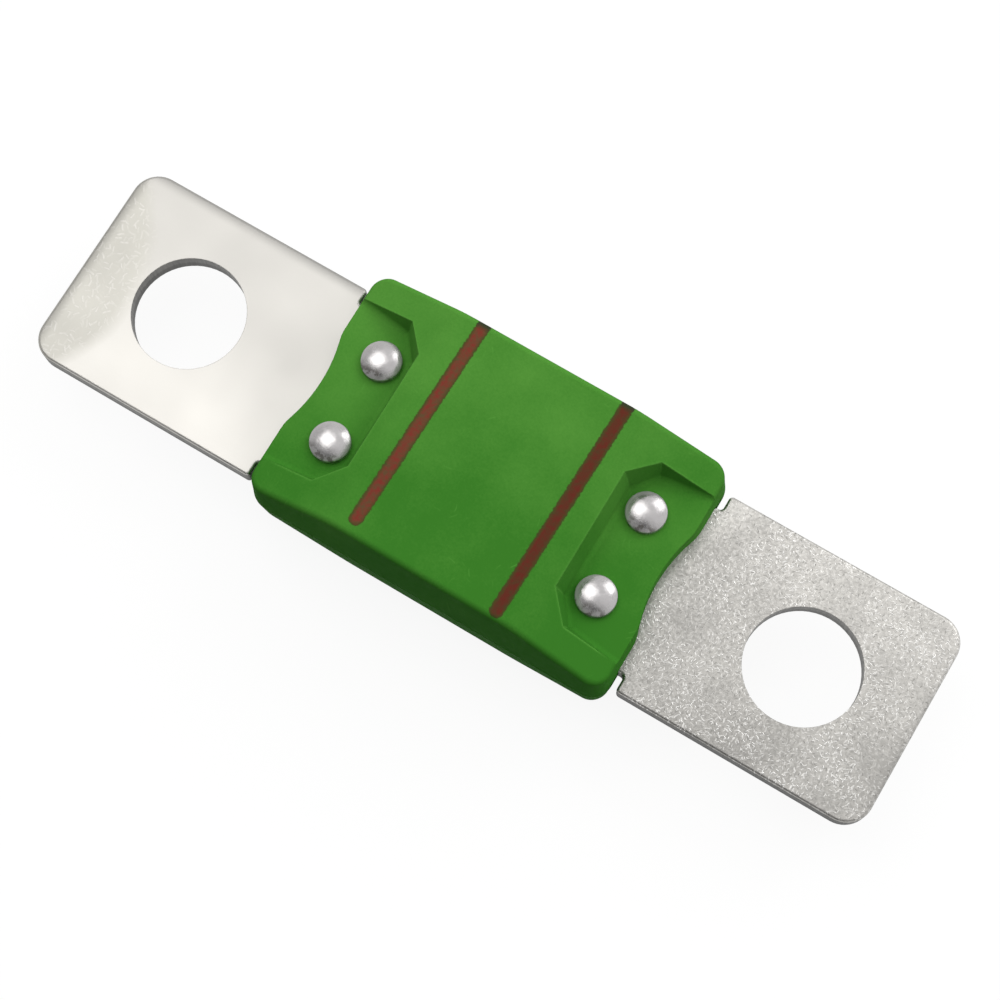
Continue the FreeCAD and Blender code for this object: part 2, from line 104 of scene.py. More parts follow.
def length(name, meaning, millimetres):
    return bpy.props.FloatProperty(
        name=name, description=meaning, default=millimetres * MM, unit="LENGTH", precision=5
    )


def share(name, meaning, value):
    return bpy.props.FloatProperty(
        name=name, description=meaning, default=value, min=0.0, max=1.0, subtype="FACTOR"
    )


class ShellLooks(bpy.types.PropertyGroup):
    light_green: colour("Light green", "Plastic where the grain is light", (0.116, 0.352, 0.053))
    dark_green: colour("Dark green", "Plastic where the grain is dark", (0.046, 0.214, 0.022))
    # Lighter green, used for real scuffs and for the painted highlight along the edges.
    scuffed_and_highlit_green: colour("Worn green", "Plastic where it has been rubbed", (0.130, 0.400, 0.066))
    roughness: share("Roughness", "Roughness of the moulded skin", 0.72)
    grain: length("Grain", "Width of the fine grain of the mould", 0.16)
    edge_rounding: length("Edge rounding", "Rounding that the light finds on sharp moulded edges", 0.11)
    bar_colour: colour("Bar colour", "The two printed bars", (0.228, 0.033, 0.029))
    worn_ink: colour("Worn ink", "The bars where the ink is thin", (0.135, 0.068, 0.036))
    bar_edge: colour("Bar edge", "The thin dark outline of a bar", (0.058, 0.070, 0.020))
    bar_tip: colour("Bar tip", "The far tip of a bar, where the ink is nearly black", (0.040, 0.040, 0.024))
    bar_width: length("Bar width", "Width of a printed bar", 1.02)
    left_bar: length("Left bar", "Middle of the left bar along the fuse", -5.60)
    right_bar: length("Right bar", "Middle of the right bar along the fuse", 6.02)
    bar_lean: bpy.props.FloatProperty(
        name="Bar lean", description="How far the print is turned on the body",
        default=math.radians(1.35), unit="ROTATION"
    )
    left_bar_end: length("Left bar end", "Near end of the left bar across the fuse", -8.15)
    right_bar_end: length("Right bar end", "Near end of the right bar across the fuse", -8.75)


class StripLooks(bpy.types.PropertyGroup):
    tin: colour("Tin", "Plating of both terminals", (0.462, 0.450, 0.426))
    # Colour of the painted glints on the right terminal's strokes.
    painted_glint_tin: colour("Strokes", "Short bright strokes on the right terminal", (0.96, 0.95, 0.93))
    scaly_tin: colour("Scales", "Wrinkled patch at the end of the left terminal", (0.425, 0.415, 0.378))
    cut_face: colour("Cut face", "Sheared edges and walls of the holes", (0.16, 0.157, 0.15))
    stroke_spacing: length("Stroke spacing", "Distance between neighbouring strokes", 0.33)
    stroke_length: length("Stroke length", "Half the length of a stroke", 0.12)
    stroke_width: length("Stroke width", "Half the width of a stroke", 0.038)
    roll_width: length("Roll width", "How far in from its outline a terminal's face falls away", 1.0)
    roll_depth: length("Roll depth", "How far it has fallen at the outline", 0.11)


class RivetSizes(bpy.types.PropertyGroup):
    metal: colour("Metal", "Aluminium of the rivets", (0.50, 0.485, 0.485))
    head_radius: length("Head radius", "Radius of a rivet's head and tail", 1.5)
    head_height: length("Head height", "Height of the domed head, its upright edge included", 0.82)
    head_edge: length("Head edge", "Height of the upright edge of a head", 0.45)
    brow: length("Brow", "Rounding between that edge and the dome", 0.12)
    tail_height: length("Tail height", "Height of the tail, a plain dome", 0.7)
    shank_radius: length("Shank radius", "Radius of a rivet between its ends", 1.0)
    along: length("Spacing along", "Between the rivets of the left and right pair", 21.71)
    across: length("Spacing across", "Between the two rivets of a pair", 6.9)
    segments: bpy.props.IntProperty(
        name="Segments", description="Faces round a rivet", default=72, min=12, max=128
    )


class StageSizes(bpy.types.PropertyGroup):
    lens: bpy.props.FloatProperty(
        name="Lens", description="Focal length of the camera, in millimetres", default=79.484, min=1.0
    )
    place: bpy.props.FloatVectorProperty(
        name="Place", description="Where the camera stands", default=(0.024561, -0.030708, 0.152876),
        size=3, subtype="TRANSLATION", unit="LENGTH", precision=5
    )
    turn: bpy.props.FloatVectorProperty(
        name="Turn", description="How the camera is turned",
        default=(math.radians(13.996), math.radians(1.6659), math.radians(30.9905)),
        size=3, subtype="EULER", unit="ROTATION"
    )
    floor_size: length("Floor", "Length of the floor's sides", 3000.0)
    floor_shade: share("Floor shade", "Lightness of the floor under the lamps", 0.12)
    floor_glow: share("Floor glow", "What the floor adds to that, where it is seen", 0.90)
    sky_bright: share("Bright sky", "Strength of the sky on its bright side", 1.0)
    sky_near: share("Near sky", "Strength of the sky over the near side, as a share of that", 0.12)
    sky_left: share("Left sky", "Strength of the sky over the left end, as a share of that", 0.7)
    sky_spot: bpy.props.FloatVectorProperty(
        name="Dark spot", description="Direction of the dark spot that the shiny rivets mirror",
        default=(0.155, -0.41, 0.90), size=3, subtype="DIRECTION"
    )
    key_strength: bpy.props.FloatProperty(
        name="Key lamp", description="How strongly the face of the key lamp glows", default=1.85, min=0.0
    )
    far_strength: bpy.props.FloatProperty(
        name="Far lamp", description="How strongly the face of the far lamp glows", default=2.6, min=0.0
    )


class Nodes:
    """The nodes of one tree, added from left to right."""

    def __init__(self, tree):
        self.tree = tree
        self.count = 0

    def add(self, kind, inputs=None, **settings):
        node = self.tree.nodes.new(kind)
        node.location = (220 * (self.count % 12), -260 * (self.count // 12))
        self.count += 1
        for key, value in settings.items():
            setattr(node, key, value)
        for key, value in (inputs or {}).items():
            self.feed(node.inputs[key], value)
        return node

    def feed(self, socket, value):
        """Give an input a plain value, or join it to another node's output."""
        if isinstance(value, bpy.types.NodeSocket):
            self.tree.links.new(value, socket)
        elif isinstance(value, bpy.types.Node):
            self.tree.links.new(value.outputs[0], socket)
        elif socket.type == "RGBA" and len(value) == 3:
            socket.default_value = (*value, 1.0)
        else:
            socket.default_value = value

    def feed_all(self, node, values):
        for i, value in enumerate(values):
            self.feed(node.inputs[i], value)

    def math(self, operation, *values, clamp=False):
        node = self.add("ShaderNodeMath", operation=operation, use_clamp=clamp)
        self.feed_all(node, values)
        return node.outputs[0]

    def vector(self, operation, *values):
        """The outputs of a vector operation: Vector, or Value where it gives a number."""
        node = self.add("ShaderNodeVectorMath", operation=operation)
        self.feed_all(node, values)
        return node.outputs

    def scaled(self, vector, amount):
        """A colour or vector times a number."""
        inputs = {"Vector": vector, "Scale": amount}
        return self.add("ShaderNodeVectorMath", inputs, operation="SCALE").outputs[0]

    def apart(self, vector):
        """The three parts of a vector."""
        return self.add("ShaderNodeSeparateXYZ", {"Vector": vector}).outputs[:3]

    def ramp(self, value, low, high, first=0.0, last=1.0, smooth=False):
        """The value's place between low and high, turned into one between first and last."""
        node = self.add("ShaderNodeMapRange", clamp=True)
        if smooth:
            node.interpolation_type = "SMOOTHSTEP"
        names = ("Value", "From Min", "From Max", "To Min", "To Max")
        for name, item in zip(names, (value, low, high, first, last)):
            self.feed(node.inputs[name], item)
        return node.outputs["Result"]

    def mix(self, amount, first, last):
        """One colour turned into another."""
        node = self.add("ShaderNodeMix", data_type="RGBA")
        self.feed(node.inputs["Factor"], amount)
        self.feed(node.inputs[6], first)
        self.feed(node.inputs[7], last)
        return node.outputs[2]

    def noise(self, place, width, detail=2.0, roughness=0.5):
        """Noise whose blotches are about this wide."""
        inputs = {"Vector": place, "Scale": 1.0 / width, "Detail": detail, "Roughness": roughness}
        return self.add("ShaderNodeTexNoise", inputs).outputs["Fac"]

    def stretched(self, place, scale):
        return self.add("ShaderNodeMapping", {"Vector": place, "Scale": scale}).outputs[0]

    def rounded(self, radius):
        """The normals of the piece with its edges rounded by this radius."""
        return self.add("ShaderNodeBevel", {"Radius": radius}, samples=4).outputs[0]

    def bump(self, height, distance, strength, under=None):
        """Normals that follow a height, on top of other normals where they are given."""
        inputs = {"Height": height, "Distance": distance, "Strength": strength}
        if under is not None:
            inputs["Normal"] = under
        return self.add("ShaderNodeBump", inputs).outputs[0]

    def strokes(self, place, spacing, half_length, half_width, offset):
        """1 on short bent strokes, one to a cell of a random pattern, each turned its own way."""
        moved = self.add("ShaderNodeMapping", {"Vector": place, "Location": (offset, -offset, 0.0)})
        pattern = {"Vector": moved, "Scale": 1.0 / spacing}
        cells = self.add("ShaderNodeTexVoronoi", pattern, voronoi_dimensions="2D")
        chance = self.add("ShaderNodeSeparateColor", {"Color": cells.outputs["Color"]}).outputs
        turning = {
            "Vector": self.vector("SUBTRACT", moved, cells.outputs["Position"])["Vector"],
            "Angle": self.math("MULTIPLY", chance[0], 2 * math.pi),
        }
        turned = self.add("ShaderNodeVectorRotate", turning, rotation_type="Z_AXIS")
        along, across = self.apart(turned)[:2]
        bend = self.math("MULTIPLY", self.math("SUBTRACT", chance[1], 0.5), 0.5 / half_length)
        curved = self.math("ADD", across, self.math("MULTIPLY", bend, self.math("MULTIPLY", along, along)))
        narrow = self.ramp(self.math("ABSOLUTE", curved), 0.45 * half_width, half_width, 1.0, 0.0)
        short = self.ramp(self.math("ABSOLUTE", along), 0.7 * half_length, half_length, 1.0, 0.0)
        strength = self.ramp(chance[2], 0.15, 0.9)
        return self.math("MULTIPLY", self.math("MULTIPLY", narrow, short), strength)


def shade_of(base, amount):
    """A colour made darker or lighter by one factor."""
    return tuple(amount * part for part in base)


def emptied(block):
    """The nodes of a material or world, once those that it came with are removed."""
    block.use_nodes = True
    block.node_tree.nodes.clear()
    return Nodes(block.node_tree)


def new_material(name):
    """An empty material, its nodes, and the place of a surface point on the fuse."""
    material = bpy.data.materials.new(name)
    nodes = emptied(material)
    place = nodes.add("ShaderNodeTexCoord").outputs["Object"]
    return material, nodes, place


def finish_material(nodes, **inputs):
    """Close a material with one shader. An underscore in a name stands for a space."""
    shader = nodes.add("ShaderNodeBsdfPrincipled", {key.replace("_", " "): inputs[key] for key in inputs})
    nodes.add("ShaderNodeOutputMaterial", {"Surface": shader})


def outside_bar(nodes, x, y, looks, centre, near_end, ragged):
    """How far a point lies outside one printed bar's outline. The bar ends round on the near side."""
    half_width = looks.bar_width / 2
    middle = nodes.math("MULTIPLY_ADD", y, math.tan(looks.bar_lean), centre)
    sideways = nodes.math("SUBTRACT", x, middle)
    past_end = nodes.math("MINIMUM", nodes.math("SUBTRACT", y, near_end + half_width), 0.0)
    squares = [nodes.math("MULTIPLY", part, part) for part in (sideways, past_end)]
    reach = nodes.math("ADD", nodes.math("SQRT", nodes.math("ADD", *squares)), ragged)
    return nodes.math("SUBTRACT", reach, half_width)


def printed_bars(nodes, place, looks):
    """The two bars on the plateau: how far ink covers a point, and the ink's colour there."""
    x, y, z = nodes.apart(place)
    fray = nodes.noise(place, 0.26 * MM, detail=4.0, roughness=0.65)
    ragged = nodes.ramp(fray, 0.25, 0.75, -0.08 * MM, 0.08 * MM)
    left = outside_bar(nodes, x, y, looks, looks.left_bar, looks.left_bar_end, ragged)
    right = outside_bar(nodes, x, y, looks, looks.right_bar, looks.right_bar_end, ragged)
    outside = nodes.math("MINIMUM", left, right)
    inside = nodes.ramp(outside, -0.04 * MM, 0.06 * MM, 1.0, 0.0, smooth=True)
    cover = nodes.math("MULTIPLY", inside, nodes.ramp(z, 5.5 * MM, 5.6 * MM))

    # The ink is patchy, darker on the right bar, and darkest along the outline and at the far tips.
    patchy = nodes.ramp(nodes.noise(place, 0.5 * MM, detail=4.0, roughness=0.65), 0.38, 0.64)
    ink = nodes.mix(patchy, looks.bar_colour, looks.worn_ink)
    ink = nodes.mix(nodes.ramp(x, 0.0, 1.0 * MM, 0.0, 0.55), ink, shade_of(looks.bar_colour, 0.35))
    ink = nodes.mix(nodes.ramp(outside, -0.26 * MM, -0.02 * MM, 0.0, 0.9), ink, looks.bar_edge)
    ink = nodes.mix(nodes.ramp(y, 8.3 * MM, 8.7 * MM), ink, looks.bar_tip)
    return cover, ink


def moulded_plastic(looks, name, printed):
    """Green moulded plastic with the fine grain of its mould, and the two bars where it is printed."""
    material, nodes, place = new_material(name)
    x, y, z = nodes.apart(place)
    grain = nodes.noise(place, looks.grain, detail=3.0, roughness=0.6)
    cloud = nodes.noise(place, 4.5 * MM, detail=3.0, roughness=0.55)

    # Painted light and shade on top of the random tone: lighter towards the far side and the left end, and
    # darker at the right end.
    tone_and_painted_light = nodes.math("MULTIPLY_ADD", grain, 0.4, nodes.math("MULTIPLY", cloud, 0.6))
    tone_and_painted_light = nodes.ramp(tone_and_painted_light, 0.34, 0.66, -0.20, 0.22)
    tone_and_painted_light = nodes.math("ADD", tone_and_painted_light, nodes.ramp(y, -5.5 * MM, 4.0 * MM, 0.0, 0.45))
    tone_and_painted_light = nodes.math("ADD", tone_and_painted_light, nodes.ramp(x, -4.0 * MM, -7.0 * MM, 0.0, 0.12))
    tone_and_painted_light = nodes.math("ADD", tone_and_painted_light, nodes.ramp(x, 8.5 * MM, 10.5 * MM, 0.0, -0.18), clamp=True)
    surface = nodes.mix(tone_and_painted_light, looks.dark_green, looks.light_green)

    # A painted highlight along the edges, where the rounded normals turn away from the face's own, above the
    # pocket floors.
    flat = nodes.add("ShaderNodeNewGeometry").outputs["Normal"]
    wide_edges = nodes.rounded(EDGE_HIGHLIGHT_WIDTH * looks.edge_rounding)
    crease = nodes.vector("DOT_PRODUCT", wide_edges, flat)["Value"]
    above_pocket = nodes.ramp(nodes.math("ABSOLUTE", z), 3.5 * MM, 3.9 * MM)
    highlit = nodes.math("MULTIPLY", nodes.ramp(crease, 0.995, 0.95, 0.0, 0.6), above_pocket)
    surface = nodes.mix(highlit, surface, looks.scuffed_and_highlit_green)

    # Faint scuffs, in some places only.
    scuffs = nodes.strokes(place, 0.9 * MM, 0.34 * MM, 0.05 * MM, 0.0)
    scuffed = nodes.ramp(nodes.noise(place, 3.0 * MM), 0.52, 0.66, 0.0, 0.35)
    surface = nodes.mix(nodes.math("MULTIPLY", scuffs, scuffed), surface, looks.scuffed_and_highlit_green)

    speck = nodes.noise(place, 0.42 * MM)
    rough = nodes.ramp(speck, 0.3, 0.7, looks.roughness - 0.06, looks.roughness + 0.06)
    skin = nodes.bump(cloud, 0.06 * MM, 0.5, nodes.rounded(looks.edge_rounding))
    skin = nodes.bump(grain, 0.012 * MM, 0.5, skin)
    if printed:
        cover, ink = printed_bars(nodes, place, looks)
        surface = nodes.mix(nodes.math("MULTIPLY", cover, 0.96), surface, ink)
        skin = nodes.bump(cover, 0.012 * MM, 0.7, skin)
    finish_material(nodes, Base_Color=surface, Roughness=rough, Normal=skin, Specular_IOR_Level=0.015)
    return material


def stroked_plating(nodes, place, looks, frost, drift, right):
    """Frosted tin of the right terminal: its colour, and where its bright strokes lie."""
    x, y = nodes.apart(place)[:2]

    # Short strokes, bright and dark. The bright ones are painted glints, and they fade in some places.
    size = (looks.stroke_spacing, looks.stroke_length, looks.stroke_width)
    large_size = tuple(LARGE_STROKE_SIZE * part for part in size)
    small = nodes.math("MAXIMUM", nodes.strokes(place, *size, 0.0), nodes.strokes(place, *size, 9.3 * MM))
    large = nodes.math("MULTIPLY", nodes.strokes(place, *large_size, 4.1 * MM), LARGE_STROKE_STRENGTH)
    fading = nodes.ramp(nodes.noise(place, 3.5 * MM), 0.38, 0.6, 0.25, 1.0)
    fading = nodes.math("MULTIPLY", fading, right)
    strokes = nodes.math("MULTIPLY", nodes.math("MAXIMUM", small, large), fading)
    dark_strokes = nodes.math("MULTIPLY", nodes.strokes(place, *size, 5.7 * MM), right)

    # Painted light: lighter towards the far side and the end, and once more beyond a circle round the stud
    # hole.
    grain = nodes.math("MULTIPLY_ADD", frost, 0.6, nodes.math("MULTIPLY", drift, 0.4))
    tin = nodes.mix(nodes.ramp(grain, 0.40, 0.58), shade_of(looks.tin, 0.85), shade_of(looks.tin, 1.15))
    painted_light_slant = nodes.math("MULTIPLY_ADD", y, 18.0, nodes.math("MULTIPLY_ADD", x, 12.0, 0.64))
    from_stud = nodes.vector("DISTANCE", place, RIGHT_STUD)["Value"]
    painted_light_beside_body = nodes.ramp(from_stud, 10.3 * MM, 11.6 * MM, 1.0, 1.15, smooth=True)
    tin = nodes.scaled(tin, nodes.math("MULTIPLY", painted_light_slant, painted_light_beside_body))
    tin = nodes.mix(nodes.math("MULTIPLY", dark_strokes, 0.7), tin, shade_of(looks.tin, 0.42))
    # The bright strokes are painted in as glints.
    tin = nodes.mix(nodes.math("MULTIPLY", strokes, 0.85), tin, looks.painted_glint_tin)
    return tin, strokes


def scaly_plating(nodes, place, looks, frost, drift):
    """Smooth tin of the left terminal: its colour, and where the flakes of its wrinkled patch lie."""
    x, y = nodes.apart(place)[:2]

    # The patch lies past a bowed and uneven border between the stud hole and the end.
    above = nodes.math("ADD", y, 1.5 * MM)
    border = nodes.math("MULTIPLY", nodes.math("MULTIPLY", above, above), -0.055 / MM)
    border = nodes.math("SUBTRACT", nodes.math("SUBTRACT", border, x), 29.5 * MM)
    border = nodes.math("ADD", border, nodes.math("MULTIPLY_ADD", drift, 2.4 * MM, -1.2 * MM))
    scaly = nodes.ramp(border, -0.5 * MM, 0.9 * MM)
    large = nodes.strokes(place, 0.62 * MM, 0.36 * MM, 0.09 * MM, 0.0)
    small = nodes.strokes(place, 0.5 * MM, 0.26 * MM, 0.07 * MM, 6.1 * MM)
    flakes = nodes.math("MULTIPLY", nodes.math("MAXIMUM", large, small), scaly)
    flakes = nodes.math("MULTIPLY", flakes, nodes.ramp(frost, 0.35, 0.6, 0.4, 1.0))

    # Painted light: brighter on the near side, and most from the stud hole outwards.
    near = nodes.ramp(y, 3.0 * MM, -6.0 * MM, smooth=True)
    near = nodes.math("MULTIPLY", near, nodes.ramp(x, -15.0 * MM, -21.0 * MM, 0.45, 1.0))
    tin = nodes.mix(nodes.ramp(drift, 0.35, 0.65), shade_of(looks.tin, 0.96), shade_of(looks.tin, 1.02))
    tin = nodes.scaled(tin, nodes.ramp(near, 0.0, 1.0, 1.0, 1.22))
    tin = nodes.mix(nodes.math("MULTIPLY", scaly, 0.85), tin, looks.scaly_tin)
    # The flakes are painted lighter: painted highlights on them.
    tin = nodes.mix(nodes.math("MULTIPLY", flakes, 0.7), tin, shade_of(looks.tin, 1.20))
    return tin, flakes


def sheared_faces(nodes, place, looks, right):
    """Cut faces, smooth above and torn below: their colour, and the streaks that the shear left."""
    y, z = nodes.apart(place)[1:]
    streak = nodes.noise(nodes.stretched(place, (1.0, 1.0, 0.08)), 0.2 * MM, detail=3.0, roughness=0.6)
    dark_or_light = nodes.ramp(streak, 0.3, 0.7)
    metal = nodes.mix(dark_or_light, shade_of(looks.cut_face, 0.8), shade_of(looks.cut_face, 1.3))
    torn = nodes.ramp(nodes.math("MULTIPLY_ADD", streak, 0.5 * MM, z), 0.1 * MM, 0.3 * MM, 1.0, 0.0)
    metal = nodes.mix(nodes.math("MULTIPLY", torn, 0.55), metal, shade_of(looks.cut_face, 0.4))

    # Painted shade: the near face of the right terminal is made the darkest.
    painted_shade_near_face = nodes.math("MULTIPLY", nodes.ramp(y, -7.9 * MM, -7.6 * MM, 1.0, 0.0), right)
    metal = nodes.scaled(metal, nodes.ramp(painted_shade_near_face, 0.0, 1.0, 1.0, 0.45))
    return metal, streak


def tinned_sheet(looks):
    """Tin plating with rolled edges: smooth and scaly on the left terminal, full of strokes on the right."""
    material, nodes, place = new_material("tinned_sheet")
    x, y = nodes.apart(place)[:2]
    facing = nodes.add("ShaderNodeNewGeometry").outputs["Normal"]
    cut = nodes.ramp(nodes.math("ABSOLUTE", nodes.apart(facing)[2]), 0.25, 0.45, 1.0, 0.0)
    right = nodes.ramp(x, -1.0 * MM, 1.0 * MM)
    drift = nodes.noise(place, 7.0 * MM)
    frost = nodes.noise(place, 0.22 * MM, detail=3.0, roughness=0.65)

    # The punch lets the face fall away towards the end and the far side, and most on the left terminal.
    from_end = nodes.math("SUBTRACT", TERMINAL_END, nodes.math("ABSOLUTE", x))
    from_side = nodes.math("SUBTRACT", TERMINAL_SIDE, y)
    from_outline = nodes.math("SMOOTH_MIN", from_end, from_side, 0.6 * MM)
    fallen = nodes.ramp(from_outline, 0.0, looks.roll_width, 1.0, 0.0)
    fallen = nodes.math("MULTIPLY", fallen, fallen)
    fallen = nodes.math("MULTIPLY", fallen, nodes.ramp(right, 0.0, 1.0, 1.0, 0.35))

    frosted, strokes = stroked_plating(nodes, place, looks, frost, drift, right)
    bright, flakes = scaly_plating(nodes, place, looks, frost, drift)
    sheared, streak = sheared_faces(nodes, place, looks, right)
    plating = nodes.mix(right, bright, frosted)
    # Painted shade: the plating is darker where its face falls away at the rolled edges.
    plating = nodes.scaled(plating, nodes.ramp(fallen, 0.0, 1.0, 1.0, 0.78))
    surface = nodes.mix(cut, plating, sheared)

    smooth = nodes.ramp(drift, 0.3, 0.7, 0.38, 0.46)
    matt = nodes.ramp(frost, 0.3, 0.7, 0.46, 0.36)
    matt = nodes.math("SUBTRACT", matt, nodes.math("MULTIPLY", strokes, 0.16))
    rough = nodes.add("ShaderNodeMix", {"Factor": right, "A": smooth, "B": matt}).outputs[0]
    rough = nodes.math("MAXIMUM", rough, nodes.math("MULTIPLY", cut, 0.52))

    # The relief: rolled edges, waves of the sheet, frost and strokes, flakes, and the shear's streaks.
    skin = nodes.bump(nodes.math("MULTIPLY", fallen, -1.0), looks.roll_depth, 1.0, nodes.rounded(0.07 * MM))
    skin = nodes.bump(nodes.noise(place, 2.4 * MM), 0.05 * MM, 0.4, skin)
    crust = nodes.math("MULTIPLY_ADD", frost, 0.6, strokes)
    skin = nodes.bump(crust, nodes.math("MULTIPLY", right, 0.03 * MM), 0.5, skin)
    skin = nodes.bump(flakes, 0.010 * MM, 0.5, skin)
    skin = nodes.bump(nodes.math("MULTIPLY", streak, cut), 0.02 * MM, 0.5, skin)
    finish_material(nodes, Base_Color=surface, Metallic=1.0, Roughness=rough, Normal=skin)
    return material


def bright_aluminium(sizes):
    """Rivet metal, softly polished by the setting tool, dull at the rim and dirty on the near side."""
    material, nodes, place = new_material("bright_aluminium")
    tool = nodes.noise(place, 0.6 * MM, detail=4.0, roughness=0.65)
    fine = nodes.noise(nodes.stretched(place, (1.0, 0.35, 1.0)), 0.12 * MM, detail=3.0)

    # Each rivet's own axis is found by folding the four into one.
    folded = nodes.vector("ABSOLUTE", place)["Vector"]
    beside = nodes.vector("SUBTRACT", folded, (sizes.along / 2, sizes.across / 2, 0.0))["Vector"]
    flat = nodes.vector("MULTIPLY", beside, (1.0, 1.0, 0.0))["Vector"]
    off_axis = nodes.vector("LENGTH", flat)["Value"]
    dull = nodes.ramp(off_axis, 0.62 * sizes.head_radius, 0.94 * sizes.head_radius, smooth=True)

    y = nodes.apart(place)[1]
    row = nodes.math("MULTIPLY", nodes.math("SIGN", y), sizes.across / 2)
    near = nodes.ramp(nodes.math("SUBTRACT", y, row), -0.55 * MM, -1.05 * MM)
    specks = nodes.ramp(nodes.noise(place, 0.45 * MM, detail=3.0, roughness=0.6), 0.50, 0.57)
    dirt = nodes.math("MULTIPLY", nodes.math("MULTIPLY", specks, near), 0.8)
    surface = nodes.mix(nodes.ramp(tool, 0.3, 0.7), shade_of(sizes.metal, 0.9), sizes.metal)
    surface = nodes.mix(dirt, surface, (0.10, 0.09, 0.08))
    rough = nodes.math("MULTIPLY_ADD", dirt, 0.3, nodes.ramp(tool, 0.3, 0.7, 0.17, 0.28))
    skin = nodes.bump(tool, 0.05 * MM, 0.35, nodes.bump(fine, 0.006 * MM, 0.4))
    metallic = nodes.ramp(dull, 0.0, 1.0, 1.0, 0.45)
    finish_material(nodes, Base_Color=surface, Metallic=metallic, Roughness=rough, Normal=skin)
    return material


def put_on_node(name, material):
    """Give a CAD node its finish in its own material slots."""
    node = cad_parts[name]
    if not node.data.materials:
        node.data.materials.append(material)
    for i in range(len(node.data.materials)):
        node.data.materials[i] = material


